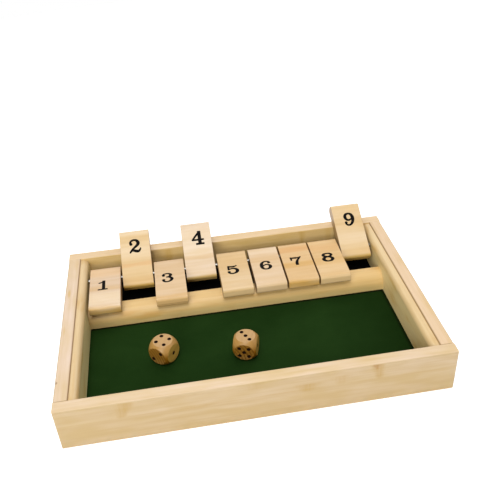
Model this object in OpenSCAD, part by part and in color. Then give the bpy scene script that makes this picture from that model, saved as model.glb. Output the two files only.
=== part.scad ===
// Shut the box: a shallow wooden tray with nine numbered flip tiles on a steel
// rod, a baize floor for throwing dice and a pair of wooden dice.
// Origin: centre of the underside. +X to the player's right, +Y to the back, +Z up.

/* [Frame] */
// Width of the frame, left to right
frame_w = 250; // [235:1:280]
// Depth of the frame, front to back
frame_d = 166; // [160:1:190]
// Height of the frame boards
frame_h = 31.5; // [30:0.5:36]
// Thickness of the four frame boards
board_t = 9; // [8:0.5:11]
// Radius on the outer edges and corners of the frame
outer_round = 1.2; // [0.6:0.2:2]
// Radius on the inner top edges of the frame
inner_round = 0.6; // [0.4:0.1:1]

/* [Tray floor] */
// Thickness of the base panel
base_t = 6; // [5:0.5:6]
// How far the base panel is let into the boards
rabbet = 4.5; // [3:0.5:6]
// Thickness of the baize in the dice tray
baize_t = 1.2; // [0.8:0.1:1.5]
// Thickness of the dark strip that lines the trough under the tiles
lining_t = 0.9; // [0.6:0.1:1.2]
// Gap round a floor piece that is laid between its neighbours
floor_gap = 0.1; // [0.05:0.05:0.3]

/* [Side rails] */
// Thickness of the two rails that carry the rod
rail_t = 5.5; // [5:0.5:7]
// How far the rails stay below the top of the frame
rail_drop = 1; // [0.5:0.1:2]
// Radius of the quarter-round on each rail's inner top edge
rail_round = 4; // [2:0.5:4.5]

/* [Crossbar] */
// Distance of the crossbar's front face behind the middle of the frame
crossbar_y = 17.5; // [14:0.5:20]
// Depth of the crossbar, front to back
crossbar_d = 12.5; // [11:0.5:15]
// Height of the crossbar's crest above the underside
crossbar_top = 19.2; // [17:0.1:20]
// Radius of the quarter-round on the crossbar's front
crossbar_round = 9; // [6:0.5:9.5]

/* [Hinge rod] */
// Diameter of the steel rod
rod_d = 3; // [2.5:0.1:3.2]
// Distance of the rod behind the middle of the frame
rod_y = 53.2; // [51:0.1:54]
// Height of the rod above the underside
rod_z = 23.9; // [23.6:0.1:24.5]
// Radial clearance of the rod in the rails' holes
rail_bore_gap = 0.02; // [0.01:0.01:0.05]
// Radial running clearance of the tiles on the rod
tile_bore_gap = 0.08; // [0.03:0.01:0.1]

/* [Tiles] */
// Width of one tile along the rod
tile_w = 22.8; // [21:0.1:23.4]
// Thickness of a tile
tile_t = 8; // [7:0.1:8.4]
// Length of a tile from the rod to its front end
front_arm = 37.3; // [34:0.1:38]
// Length of a tile from the rod to its back end
back_arm = 10.4; // [9:0.1:11]
// Radius on the four long edges of a tile
tile_round = 2.4; // [1:0.1:3]
// Air left between a tile and what it comes to rest against
rest_gap = 0.12; // [0.05:0.01:0.3]

/* [Dice] */
// Size across the flats of a die
die_size = 16; // [14:0.5:18]
// Radius of the sphere that rounds the corners, as a share of the size
die_ball = 0.65; // [0.62:0.005:0.72]
// Spacing of the pips, as a share of the size
pip_pitch = 0.2; // [0.17:0.005:0.22]
// Diameter of a pip
pip_d = 2.6; // [1.8:0.1:3]
// Depth of a pip
pip_depth = 0.7; // [0.4:0.1:0.9]
// Distance of the left die to the right of the middle
left_die_x = -58; // [-90:0.5:-30]
// Distance of the left die behind the middle
left_die_y = -24; // [-60:0.5:-5]
// Turn of the left die about the vertical
left_die_yaw = -38; // [-45:1:45]
// Distance of the right die to the right of the middle
right_die_x = -2.5; // [-10:0.5:90]
// Distance of the right die behind the middle
right_die_y = -31; // [-60:0.5:-5]
// Turn of the right die about the vertical
right_die_yaw = -18; // [-45:1:45]

/* [Hidden] */
$fn = 64;

// How many tiles hang on the rod, and which of them lean back instead of lying flat
TILE_COUNT = 9;
RAISED = [2, 4, 9];

// How far each tile has been pushed along the rod to the right, out of an even row
TILE_SLIDE = [0.4, 0.3, 0, -0.5, -0.2, 0.3, 0.1, -0.3, -0.5];

// Length of a cut that has to run clear past the wood on both sides
CUT = 1;

well_w = frame_w - 2 * board_t;           // between the side boards
well_d = frame_d - 2 * board_t;           // between the front and back boards
bay_w = well_w - 2 * rail_t;              // between the rails
front_in = -well_d / 2;                   // inner face of the front board
back_in = well_d / 2;                     // inner face of the back board
rail_top = frame_h - rail_drop;
crossbar_back = crossbar_y + crossbar_d;
baize_top = base_t + baize_t;

// The even row shares the slack between the rails among its gaps
tile_gap = (bay_w - TILE_COUNT * tile_w) / (TILE_COUNT + 1);
tile_pitch = tile_w + tile_gap;

// A flat tile leans on the crossbar's quarter-round: angle below level
crest_dy = rod_y - (crossbar_y + crossbar_round);
crest_dz = rod_z - (crossbar_top - crossbar_round);
flat_tilt = atan2(crest_dz, crest_dy)
    - asin((tile_t / 2 + crossbar_round + rest_gap) / norm([crest_dy, crest_dz]));

// A raised tile leans on the back board's rounded inner edge: angle above level
edge_dy = back_in + inner_round - rod_y;
edge_dz = frame_h - inner_round - rod_z;
raised_lean = atan2(edge_dz, edge_dy)
    + asin((tile_t / 2 + inner_round + rest_gap) / norm([edge_dy, edge_dz]));

// Turn of a tile between its two resting places
flip_angle = 180 + flat_tilt - raised_lean;
echo(flat_tilt = flat_tilt, raised_lean = raised_lean, flip_angle = flip_angle);
echo(tile_gap = tile_gap, tile_pitch = tile_pitch);

WOOD = [0.93, 0.82, 0.64];
WOOD_SHADE = [0.87, 0.74, 0.54];
TILE_WOOD = [0.94, 0.83, 0.66];
DIE_WOOD = [0.78, 0.56, 0.33];

// ---- Shared profiles ----

// Rectangle with its four corners rounded: front bottom, back bottom, back top, front top
module eased_rect(size, radii) {
    corners = [[0, 0], [1, 0], [1, 1], [0, 1]];
    difference() {
        square(size);
        for (i = [0:3]) {
            corner = corners[i];
            r = radii[i];
            if (r > 0)
                translate([corner[0] * size[0], corner[1] * size[1]])
                    scale([1 - 2 * corner[0], 1 - 2 * corner[1]])
                        corner_waste(r);
        }
    }
}

// What a rounding cutter takes off a corner that points to the origin
module corner_waste(r) {
    difference() {
        translate([-CUT, -CUT]) square(r + CUT);
        translate([r, r]) circle(r);
        translate([r, -2 * CUT]) square(r + 2 * CUT);
        translate([-2 * CUT, r]) square(r + 2 * CUT);
    }
}

// A profile drawn in Y and Z, run along X and centred on it
module run_x(length) {
    translate([-length / 2, 0, 0])
        rotate([90, 0, 90])
            linear_extrude(length) children();
}

// A profile drawn in X and Z, run along Y from the front to the back of the well
module run_y(length) {
    translate([0, length / 2, 0])
        rotate([90, 0, 0])
            linear_extrude(length) children();
}

// ---- Frame ----

// Outline of the whole frame from above, with its rounded corners
module frame_block() {
    linear_extrude(frame_h)
        translate([-frame_w / 2, -frame_d / 2])
            eased_rect([frame_w, frame_d], [for (i = [0:3]) outer_round]);
}

// The base panel's space, with its rabbets in the four boards
module base_blank(gap) {
    size = [well_w + 2 * rabbet + 2 * gap, well_d + 2 * rabbet + 2 * gap];
    translate([-size[0] / 2, -size[1] / 2, 0])
        cube([size[0], size[1], base_t]);
}

// Section of a frame board: outer face on the left, inner face on the right
module board_section() {
    eased_rect([board_t, frame_h], [outer_round / 2, 0, inner_round, outer_round]);
}

// One of the two long boards; it runs the full width of the frame
module long_board() {
    difference() {
        intersection() {
            translate([0, -frame_d / 2, 0]) run_x(frame_w) board_section();
            frame_block();
        }
        base_blank(floor_gap);
    }
}

// One of the two short boards; it butts between the long ones
module short_board() {
    difference() {
        translate([-frame_w / 2, 0, 0]) run_y(well_d) board_section();
        base_blank(floor_gap);
    }
}

module front_board() {
    color(WOOD) long_board();
}

module back_board() {
    color(WOOD) rotate([0, 0, 180]) long_board();
}

module left_board() {
    color(WOOD) short_board();
}

module right_board() {
    color(WOOD) rotate([0, 0, 180]) short_board();
}

// ---- Floor ----

module base_panel() {
    color(WOOD_SHADE) base_blank(0);
}

// A thin sheet laid on the base panel between the rails
module floor_sheet(from_y, to_y, thickness) {
    translate([-bay_w / 2 + floor_gap, from_y + floor_gap, base_t])
        cube([bay_w - 2 * floor_gap, to_y - from_y - 2 * floor_gap, thickness]);
}

module baize() {
    color([0.1, 0.25, 0.1]) floor_sheet(front_in, crossbar_y, baize_t);
}

module trough_lining() {
    color([0.05, 0.05, 0.06]) floor_sheet(crossbar_back, back_in, lining_t);
}

// ---- Rails, crossbar and rod ----

// The left rail: flat against the side board, quarter-round inside, drilled for the rod
module rail() {
    difference() {
        translate([-well_w / 2, 0, base_t])
            run_y(well_d)
                eased_rect([rail_t, rail_top - base_t], [0, 0, rail_round, 0]);
        rod_hole(rod_d / 2 + rail_bore_gap);
    }
}

// A hole on the rod's axis, through everything
module rod_hole(r) {
    translate([-frame_w / 2, rod_y, rod_z])
        rotate([0, 90, 0]) cylinder(h = frame_w, r = r);
}

module left_rail() {
    color(WOOD) rail();
}

module right_rail() {
    color(WOOD) mirror([1, 0, 0]) rail();
}

// Moulding across the tray that the flat tiles lie on
module crossbar() {
    color(WOOD)
        translate([0, crossbar_y, base_t])
            run_x(bay_w)
                eased_rect([crossbar_d, crossbar_top - base_t], [0, 0, 0, crossbar_round]);
}

// The rod passes through both rails and is trapped between the side boards
module hinge_rod() {
    color("silver")
        translate([-well_w / 2 + floor_gap, rod_y, rod_z])
            rotate([0, 90, 0]) cylinder(h = well_w - 2 * floor_gap, d = rod_d);
}

// ---- Tiles ----

// Side view of a tile lying level, with the rod's axis at the origin
module tile_section() {
    difference() {
        translate([-front_arm, -tile_t / 2])
            eased_rect([front_arm + back_arm, tile_t], [for (i = [0:3]) tile_round]);
        circle(rod_d / 2 + tile_bore_gap);
    }
}

function is_raised(n) = len(search(n, RAISED)) > 0;

// Turn of a tile about the rod, from level towards the back
function tile_turn(n) = is_raised(n) ? 180 - raised_lean : -flat_tilt;

// Tile n of the row, counted from the left
module tile(n) {
    place = (n - (TILE_COUNT + 1) / 2) * tile_pitch + TILE_SLIDE[n - 1];
    color(TILE_WOOD)
        translate([place, rod_y, rod_z])
            rotate([-tile_turn(n), 0, 0])
                run_x(tile_w) tile_section();
}

// ---- Dice ----

// Places of the pips on a face, in pip spacings: pairs are added for higher numbers
function pips(n) = concat(
    n % 2 == 1 ? [[0, 0]] : [],
    n > 1 ? [[-1, -1], [1, 1]] : [],
    n > 3 ? [[-1, 1], [1, -1]] : [],
    n == 6 ? [[-1, 0], [1, 0]] : []);

// Turns that bring the top of a die to the face for 1 to 6
FACE_TURNS = [[0, 90, 0], [90, 0, 0], [180, 0, 90], [0, 0, 0], [-90, 0, 0], [0, -90, 0]];

// Ball-ended cutter that sinks one pip into the top face
module pip_cutter() {
    ball = (pip_d * pip_d / 4 + pip_depth * pip_depth) / (2 * pip_depth);
    translate([0, 0, die_size / 2 + ball - pip_depth]) sphere(ball);
}

// A die centred on the origin, with its 4 on top
module die() {
    difference() {
        intersection() {
            cube(die_size, center = true);
            sphere(die_ball * die_size);
        }
        for (n = [1:6])
            rotate(FACE_TURNS[n - 1])
                for (spot = pips(n))
                    translate(spot * pip_pitch * die_size) pip_cutter();
    }
}

// A die standing on the baize; flip turns it over about its left-right axis
module placed_die(x, y, yaw, flip) {
    color(DIE_WOOD)
        translate([x, y, baize_top + rest_gap + die_size / 2])
            rotate([0, 0, yaw]) rotate([flip, 0, 0]) die();
}

module die_left() {
    placed_die(left_die_x, left_die_y, left_die_yaw, 0);
}

module die_right() {
    placed_die(right_die_x, right_die_y, right_die_yaw, 180);
}

front_board();
back_board();
left_board();
right_board();
base_panel();
baize();
trough_lining();
left_rail();
right_rail();
crossbar();
hinge_rod();
tile(1);  // tile_1
tile(2);  // tile_2
tile(3);  // tile_3
tile(4);  // tile_4
tile(5);  // tile_5
tile(6);  // tile_6
tile(7);  // tile_7
tile(8);  // tile_8
tile(9);  // tile_9
die_left();
die_right();
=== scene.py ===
import math

import bpy
import bmesh
import numpy as np
from mathutils import Color, Euler, Matrix, Vector


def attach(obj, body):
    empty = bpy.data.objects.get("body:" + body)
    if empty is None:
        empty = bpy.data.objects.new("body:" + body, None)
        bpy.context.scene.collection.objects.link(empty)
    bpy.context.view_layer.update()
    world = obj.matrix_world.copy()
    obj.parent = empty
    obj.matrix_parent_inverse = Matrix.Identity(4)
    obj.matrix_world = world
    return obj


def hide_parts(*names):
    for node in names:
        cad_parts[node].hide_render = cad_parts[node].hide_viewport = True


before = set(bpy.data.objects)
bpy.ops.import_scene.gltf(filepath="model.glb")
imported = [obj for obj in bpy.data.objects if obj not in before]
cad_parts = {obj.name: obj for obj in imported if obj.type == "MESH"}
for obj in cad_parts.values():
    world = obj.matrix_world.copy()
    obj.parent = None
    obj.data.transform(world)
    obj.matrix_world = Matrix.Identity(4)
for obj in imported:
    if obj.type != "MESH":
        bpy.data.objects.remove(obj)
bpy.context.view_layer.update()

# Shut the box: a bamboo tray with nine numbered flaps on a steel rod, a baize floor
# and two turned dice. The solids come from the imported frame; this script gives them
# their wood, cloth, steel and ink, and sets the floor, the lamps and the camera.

MM = 0.001

# ---------------------------------------------------------------- sizes of the game
# Millimetres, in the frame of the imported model.
CASE_HALF_WIDTH = 125.0
CASE_HALF_DEPTH = 83.0
BOARD_THICK = 9.0
BOARD_TOP = 31.5
BOARD_INNER_X = CASE_HALF_WIDTH - BOARD_THICK
BOARD_INNER_Y = CASE_HALF_DEPTH - BOARD_THICK
RAIL_THICK = 5.5
BAY_HALF_WIDTH = BOARD_INNER_X - RAIL_THICK
CROSSBAR_FRONT, CROSSBAR_BACK = 17.5, 30.0

# The two cloths lie on the base panel, clear of the wood around them.
SHEET_GAP = 0.1
SHEET_HALF_WIDTH = BAY_HALF_WIDTH - SHEET_GAP
BASE_TOP = 6.0
BAIZE_TOP = 7.2
LINING_TOP = 6.9
BAIZE_BACK = CROSSBAR_FRONT - SHEET_GAP
LINING_FRONT = CROSSBAR_BACK + SHEET_GAP

ROD_Y, ROD_Z = 53.2, 23.9
FLAPS = range(1, 10)
RAISED = (2, 4, 9)
FLAP_WIDTH = 22.8
FLAP_GAP = (2 * BAY_HALF_WIDTH - len(FLAPS) * FLAP_WIDTH) / (len(FLAPS) + 1)
FLAP_PITCH = FLAP_WIDTH + FLAP_GAP
MIDDLE_FLAP = 5
# How far each flap has been pushed to the right along the rod, out of an even row.
FLAP_SLIDE = dict(zip(FLAPS, (0.4, 0.3, 0.0, -0.5, -0.2, 0.3, 0.1, -0.3, -0.5)))
FLAP_HALF_THICK = 4.0
# From the rod to a flap's front end.
FLAP_REACH = 37.3
FLAT_TILT = math.radians(1.238)
RAISED_LEAN = math.radians(30.214)

DIE_SIZE = 16.0
DIE_REST_GAP = 0.12
DIE_HEIGHT = BAIZE_TOP + DIE_REST_GAP + DIE_SIZE / 2
PIP_SPACING = 3.2
PIP_WIDTH = 2.6
PIP_DEPTH = 0.7
DICE = {
    "left": {
        "node": "die_left", "body": "left_die",
        "x": -58.0, "y": -24.0, "yaw": -38.0, "flip": 0.0,
    },
    "right": {
        "node": "die_right", "body": "right_die",
        "x": -2.5, "y": -31.0, "yaw": -18.0, "flip": 180.0,
    },
}
# Turns that bring a die's top face to where each number sits, in degrees.
FACE_TURNS = {
    1: (0, 90, 0), 2: (90, 0, 0), 3: (180, 0, 90),
    4: (0, 0, 0), 5: (-90, 0, 0), 6: (0, -90, 0),
}


def flap_middle(number):
    """How far to the right of the game's middle a flap's own middle lies, in millimetres."""
    return (number - MIDDLE_FLAP) * FLAP_PITCH + FLAP_SLIDE[number]


def flap_directions(number):
    """The way from the rod along a flap, and the way its upper face looks, at rest."""
    if number in RAISED:
        along = Vector((0, math.cos(RAISED_LEAN), math.sin(RAISED_LEAN)))
        return along, Vector((0, -along.z, along.y))
    along = Vector((0, -math.cos(FLAT_TILT), -math.sin(FLAT_TILT)))
    return along, Vector((0, along.z, -along.y))


# ---------------------------------------------------------------- paint mixing
def paint(red, green, blue):
    """Linear colour of a paint whose screen levels run from 0 to 255."""
    screen = Color((red / 255, green / 255, blue / 255))
    return (*screen.from_srgb_to_scene_linear(), 1.0)


def stain(red, green, blue):
    """What a wood or cloth stain multiplies a tone by, channel by channel."""
    return (red, green, blue, 1.0)


class Tone:
    """A socket in a finish: sums on it add Math nodes, or Vector Math nodes for vectors."""

    def __init__(self, finish, socket):
        self.finish = finish
        self.socket = socket

    def sum(self, operation, *parts):
        vector = any(
            isinstance(p, (tuple, Vector)) or (isinstance(p, Tone) and p.socket.type == "VECTOR")
            for p in parts
        )
        kind = "ShaderNodeVectorMath" if vector else "ShaderNodeMath"
        return self.finish.node(kind, {"operation": operation}, dict(enumerate(parts)))

    def __add__(self, other):
        return self.sum("ADD", self, other)

    def __radd__(self, other):
        return self.sum("ADD", other, self)

    def __sub__(self, other):
        return self.sum("SUBTRACT", self, other)

    def __rsub__(self, other):
        return self.sum("SUBTRACT", other, self)

    def __mul__(self, other):
        return self.sum("MULTIPLY", self, other)

    def __rmul__(self, other):
        return self.sum("MULTIPLY", other, self)

    def __truediv__(self, other):
        return self.sum("DIVIDE", self, other)

    def __rtruediv__(self, other):
        return self.sum("DIVIDE", other, self)

    def __abs__(self):
        return self.sum("ABSOLUTE", self)

    def __gt__(self, other):
        return self.sum("GREATER_THAN", self, other)

    def __lt__(self, other):
        return self.sum("LESS_THAN", self, other)


class Finish:
    """A tree of nodes for one material or for the studio's air."""

    def __init__(self, owner):
        self.owner = owner
        owner.use_nodes = True
        self.tree = owner.node_tree
        self.tree.nodes.clear()

    @classmethod
    def of_material(cls, name):
        """A new material, placed by the game's own rest position in metres."""
        finish = cls(bpy.data.materials.new(name))
        finish.place = finish.node("ShaderNodeTexCoord", output="Object")
        return finish

    def node(self, kind, settings=None, inputs=None, output=0):
        """Adds any node: its settings first, then the values and links of its sockets."""
        added = self.tree.nodes.new(kind)
        for name, value in (settings or {}).items():
            setattr(added, name, value)
        for name, value in (inputs or {}).items():
            if isinstance(value, Tone):
                self.tree.links.new(value.socket, added.inputs[name])
            else:
                added.inputs[name].default_value = value
        return Tone(self, added.outputs[output]) if added.outputs else None

    # Shorthand for the nodes that come up again and again.
    def axes(self, vector):
        split = self.node("ShaderNodeSeparateXYZ", None, {0: vector}).socket.node
        return [Tone(self, split.outputs[i]) for i in range(3)]

    def vector(self, x, y, z):
        return self.node("ShaderNodeCombineXYZ", None, {0: x, 1: y, 2: z})

    def noise(self, place, detail=2.0, roughness=0.5, distortion=0.0, scale=1.0):
        return self.node("ShaderNodeTexNoise", {"normalize": True}, {
            "Vector": place, "Scale": scale, "Detail": detail,
            "Roughness": roughness, "Distortion": distortion,
        })

    def random(self, value):
        return self.node("ShaderNodeTexWhiteNoise", {"noise_dimensions": "1D"}, {"W": value})

    def spread(self, value, low, high, to_low=0.0, to_high=1.0, smooth=False):
        """Stretches a range of values onto another, held at its ends."""
        settings = {"interpolation_type": "SMOOTHSTEP" if smooth else "LINEAR", "clamp": True}
        return self.node("ShaderNodeMapRange", settings, {
            "Value": value, "From Min": low, "From Max": high, "To Min": to_low, "To Max": to_high,
        })

    def line(self, value, at, half_width):
        """1 on a line where value is near at, falling to 0 at half_width."""
        return self.spread(abs(value - at), 0.0, half_width, 1.0, 0.0, smooth=True)

    def length(self, vector):
        return self.node("ShaderNodeVectorMath", {"operation": "LENGTH"}, {0: vector}, output="Value")

    def blend(self, low, high, share, blend_type="MIX"):
        """Goes from one colour to another by a share."""
        settings = {"data_type": "RGBA", "blend_type": blend_type}
        return self.node("ShaderNodeMix", settings, {0: share, 6: low, 7: high}, output=2)

    def shade(self, colour, by):
        """Multiplies a colour by another."""
        return self.blend(colour, by, 1.0, "MULTIPLY")

    def tinted(self, colour, by, share):
        """Turns a share of a colour towards itself times another."""
        return self.blend(colour, self.shade(colour, by), share)

    def bump(self, height, distance_mm, strength=1.0):
        return self.node("ShaderNodeBump", None, {
            "Strength": strength, "Distance": distance_mm * MM, "Height": height,
        })

    def surface(self, sockets):
        """Closes a material with one Principled shader."""
        shader = self.node("ShaderNodeBsdfPrincipled", None, sockets)
        self.node("ShaderNodeOutputMaterial", None, {"Surface": shader})
        return self.owner


# ---------------------------------------------------------------- wood
def grain_place(finish, along, fine_mm, long_mm, offset=None):
    """Coordinates squeezed so that noise draws fibres of that width and length."""
    scale = [1 / (fine_mm * MM)] * 3
    scale["XYZ".index(along)] = 1 / (long_mm * MM)
    place = finish.place if offset is None else finish.place + offset
    return place * tuple(scale)


def swing(noise, share):
    """A noise's swing about its middle, as that share of a tone's whole depth."""
    return (noise - 0.5) * share


def satin_wood(finish, colour, fibre, relief, rough, gloss=0.5):
    """Closes a planed wood: satin, with its fibres standing up a little."""
    return finish.surface({
        "Base Color": colour, "Roughness": finish.spread(fibre, 0.2, 0.8, *rough),
        "Normal": relief, "IOR": 1.5, "Specular IOR Level": gloss,
    })


# Each board is two strips of bamboo glued on edge, and its faces are tinted apart by painted light.
GLUE_LINE_Z = 19.3
BAMBOO_PINK = paint(213, 188, 155)
BAMBOO_YELLOW = paint(203, 175, 125)
BAMBOO_DEEP = paint(181, 147, 94)
BAMBOO_GOLD = paint(187, 148, 66)
BAMBOO_ORANGE = paint(170, 114, 50)
SEAM_BROWN = paint(128, 92, 50)
BOARD_ROUGH = (0.40, 0.50)
BOARD_INNER = {"X": BOARD_INNER_Y, "Y": BOARD_INNER_X}
# Painted shade darkens the outer faces; warm painted bounce light lifts the inner ones.
OUTER_SHADE_TONE = stain(0.764, 0.75, 0.71)
INNER_BOUNCE_TONE = stain(1.13, 1.04, 0.69)
# Painted light on the top edge: a pale painted sheen on the front or left board, then a warmer painted
# shade on the back or right board.
TOP_LIGHT_TONES = {
    "X": (stain(1.01, 1.03, 1.09), stain(1.0, 0.97, 0.865)),
    "Y": (stain(1.03, 1.07, 1.27), stain(1.01, 0.98, 0.94)),
}
CUT_END_TONE = stain(0.72, 0.66, 0.56)


def knot_marks(finish, colour, marks, run, across, z, wobble):
    """Soft patches on a board's faces, each broad at one height and narrow at the other."""
    ridge = 0.7 + swing(finish.noise(grain_place(finish, "Z", 1.1, 14), 2.0), 1.2)
    for facing, at_mm, narrow_mm, broad_mm, half_mm, lean, tone, strength in marks:
        width = finish.spread(z, narrow_mm * MM, broad_mm * MM, 0.45 * half_mm * MM, half_mm * MM)
        away = abs(run + wobble - at_mm * MM - (z - broad_mm * MM) * lean) / width
        low, high = sorted((narrow_mm, broad_mm))
        above_low = finish.spread(z, (low - 1.5) * MM, (low + 1.0) * MM, smooth=True)
        below_high = finish.spread(z, (high - 0.4) * MM, (high + 0.5) * MM, 1.0, 0.0, smooth=True)
        side = (across * facing) > 0.0
        patch = finish.spread(away, 0.1, 1.0, 1.0, 0.0, smooth=True)
        colour = finish.blend(colour, tone, patch * above_low * below_high * side * ridge * strength)
    return colour


def edge_knots(finish, colour, knots, run, across):
    """Small knots that show on a board's top edge."""
    for across_mm, run_mm, half_across_mm, half_run_mm, tone, strength in knots:
        off_across = (across - across_mm * MM) / (half_across_mm * MM)
        off_along = (run - run_mm * MM) / (half_run_mm * MM)
        away = finish.length(finish.vector(off_across, off_along, 0.0))
        colour = finish.blend(colour, tone, finish.spread(away, 0.2, 1.0, strength, 0.0, smooth=True))
    return colour


def board_bamboo(name, along, marks, knots=()):
    """Laminated bamboo board: fibres along it, two strips, and the marks of their knots."""
    finish = Finish.of_material(name)
    x, y, z = finish.axes(finish.place)
    run, across = (x, y) if along == "X" else (y, x)
    streak = finish.noise(grain_place(finish, along, 3.2, 70), 2.0, 0.55)
    patch = finish.noise(grain_place(finish, along, 8, 30, (0.31, 0.17, 0.05)), 2.0)
    fibre = finish.noise(grain_place(finish, along, 0.55, 46), 3.0, 0.6)
    thread = finish.noise(grain_place(finish, along, 0.22, 16), 2.0, 0.55)
    wobble = swing(finish.noise(grain_place(finish, along, 6, 6), 2.0), 3.0 * MM)

    # The two strips differ a little, and so do opposite boards.
    upper = finish.spread(z + wobble * 0.2, (GLUE_LINE_Z - 0.3) * MM, (GLUE_LINE_Z + 0.3) * MM)
    own = finish.random(upper * 3.0 + (across > 0.0) * 7.0 + 2.0) - 0.5
    yellow = finish.spread(patch + own * 0.25 + swing(streak, 0.35), 0.34, 0.72)
    depth = 0.26 + own * 0.12 + swing(streak, 0.6) + swing(fibre, 0.5) + swing(thread, 0.3)
    colour = finish.blend(BAMBOO_PINK, BAMBOO_YELLOW, yellow)
    colour = finish.blend(colour, BAMBOO_DEEP, finish.spread(depth, 0.0, 1.0) * 0.75)

    # The glue line between the strips comes and goes.
    glue = finish.line(z + wobble * 0.15, GLUE_LINE_Z * MM, 0.45 * MM)
    shows = finish.spread(finish.noise(grain_place(finish, along, 30, 30), 1.0), 0.40, 0.62)
    colour = finish.blend(colour, BAMBOO_GOLD, glue * shows * 0.45)

    colour = knot_marks(finish, colour, marks, run, across, z, wobble)
    colour = edge_knots(finish, colour, knots, run, across)

    # Painted light: the top is tinted as a painted sheen, the outer faces as painted shade and the
    # inner faces as warm painted bounce light.
    top = finish.spread(z, (BOARD_TOP - 0.25) * MM, (BOARD_TOP - 0.05) * MM)
    inside = abs(across) < (BOARD_INNER[along] + 0.1) * MM
    near_top_light, far_top_light = TOP_LIGHT_TONES[along]
    tone = finish.blend(OUTER_SHADE_TONE, INNER_BOUNCE_TONE, inside)
    tone = finish.blend(tone, finish.blend(near_top_light, far_top_light, across > 0.0), top)
    colour = finish.shade(colour, tone)

    # The ends of the long boards show their cut fibres. The short boards' joints with the rails
    # get a dark joint line, darkened as painted shade of the groove there, and every board darkens
    # towards its lower edge.
    if along == "X":
        cut_fibres = finish.noise(finish.place * (2400.0, 2400.0, 2400.0), 2.0, 0.6)
        at_end = abs(x) > (CASE_HALF_WIDTH - 0.1) * MM
        end = at_end * finish.spread(cut_fibres, 0.35, 0.65, 0.45, 1.0)
        colour = finish.tinted(colour, CUT_END_TONE, end)
    else:
        beside = finish.line(abs(x), (BOARD_INNER_X + 0.2) * MM, 0.9 * MM)
        colour = finish.blend(colour, SEAM_BROWN, beside * 0.75)
    foot = finish.spread(z, 0.2 * MM, 1.8 * MM, 1.0, 0.0, smooth=True)
    colour = finish.blend(colour, BAMBOO_DEEP, foot * 0.5)
    relief = finish.bump(fibre * 0.6 + thread * 0.4, 0.05, 0.6)
    return satin_wood(finish, colour, fibre, relief, BOARD_ROUGH)


def moulding_wood(name, along, tones, golden, patch_mm, rough, wall_mm, wall_light_tones):
    """Planed strip moulding: straight grain between a pale and a deep tone, and a share of
    golden patches. Its upright walls, which end between two heights, are tinted with painted
    light, one tone to the left and one to the right."""
    pale, deep, gold = tones
    finish = Finish.of_material(name)
    cloud = finish.noise(grain_place(finish, along, 6, patch_mm, (0.11, 0.23, 0.0)), 2.0)
    band = finish.noise(grain_place(finish, along, 1.8, 120), 2.0, 0.5)
    fibre = finish.noise(grain_place(finish, along, 0.45, 38), 3.0, 0.6)
    depth = 0.30 + swing(cloud, 0.5) + swing(band, 0.8) + swing(fibre, 0.6)
    colour = finish.blend(pale, deep, finish.spread(depth, 0.0, 1.0))
    colour = finish.blend(colour, gold, finish.spread(cloud, 0.53, 0.74, smooth=True) * golden)
    x, _, z = finish.axes(finish.place)
    low_mm, high_mm = wall_mm
    wall = finish.spread(z, low_mm * MM, high_mm * MM, 1.0, 0.0, smooth=True)
    # Painted light on the upright walls.
    colour = finish.tinted(colour, finish.blend(*wall_light_tones, x > 0.0), wall)
    return satin_wood(finish, colour, fibre, finish.bump(fibre, 0.05, 0.5), rough)


FLAP_PALE = paint(224, 206, 180)
FLAP_PEACH = paint(212, 174, 124)
FLAP_GOLD = paint(198, 156, 84)
FLAP_ORANGE = paint(201, 150, 84)
# Each flap is cut from its own piece: its main tone, and bands across it, each with its
# distance from the rod in millimetres, half width, tone and strength.
FLAP_WOODS = {
    1: (paint(203, 177, 147), (
        (38.5, 2.2, FLAP_GOLD, 0.9), (-4.0, 6.0, FLAP_PEACH, 0.55),
        (15.5, 2.5, FLAP_GOLD, 0.35), (28.0, 9.0, FLAP_PALE, 0.6),
    )),
    2: (paint(205, 175, 127), (
        (35.5, 3.0, FLAP_PALE, 0.5), (19.0, 7.0, FLAP_PALE, 0.35),
        (7.0, 2.2, FLAP_ORANGE, 0.45), (-6.0, 4.0, FLAP_GOLD, 0.3),
    )),
    3: (paint(205, 176, 138), (
        (36.0, 3.5, FLAP_GOLD, 0.45),
    )),
    4: (paint(209, 185, 156), (
        (20.0, 13.0, FLAP_PALE, 0.4), (7.0, 2.5, FLAP_GOLD, 0.3),
    )),
    5: (paint(205, 175, 129), (
        (2.0, 10.0, FLAP_GOLD, 0.25), (29.0, 8.0, FLAP_PALE, 0.2),
    )),
    6: (paint(208, 181, 146), (
        (-5.0, 4.0, FLAP_PALE, 0.25), (6.0, 5.0, FLAP_GOLD, 0.25),
    )),
    7: (paint(206, 172, 122), (
        (38.5, 2.2, FLAP_GOLD, 0.9), (-2.0, 4.0, FLAP_ORANGE, 0.6),
        (17.5, 4.0, FLAP_GOLD, 0.8),
    )),
    8: (paint(208, 174, 122), (
        (38.5, 2.2, FLAP_PALE, 0.3), (1.0, 5.0, FLAP_ORANGE, 0.35),
        (17.5, 6.0, FLAP_GOLD, 0.4), (30.0, 7.0, FLAP_PALE, 0.15),
    )),
    9: (paint(211, 183, 140), (
        (20.0, 4.0, FLAP_GOLD, 0.22), (7.0, 6.0, FLAP_PALE, 0.25),
        (-6.0, 4.0, FLAP_GOLD, 0.3),
    )),
}
FLAP_ROUGH = (0.38, 0.48)
FLAP_STAIN = stain(0.97, 0.93, 0.82)
FLAP_GRAIN = stain(0.88, 0.84, 0.76)
FLAP_SIDE_TONE = stain(0.62, 0.55, 0.45)
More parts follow.
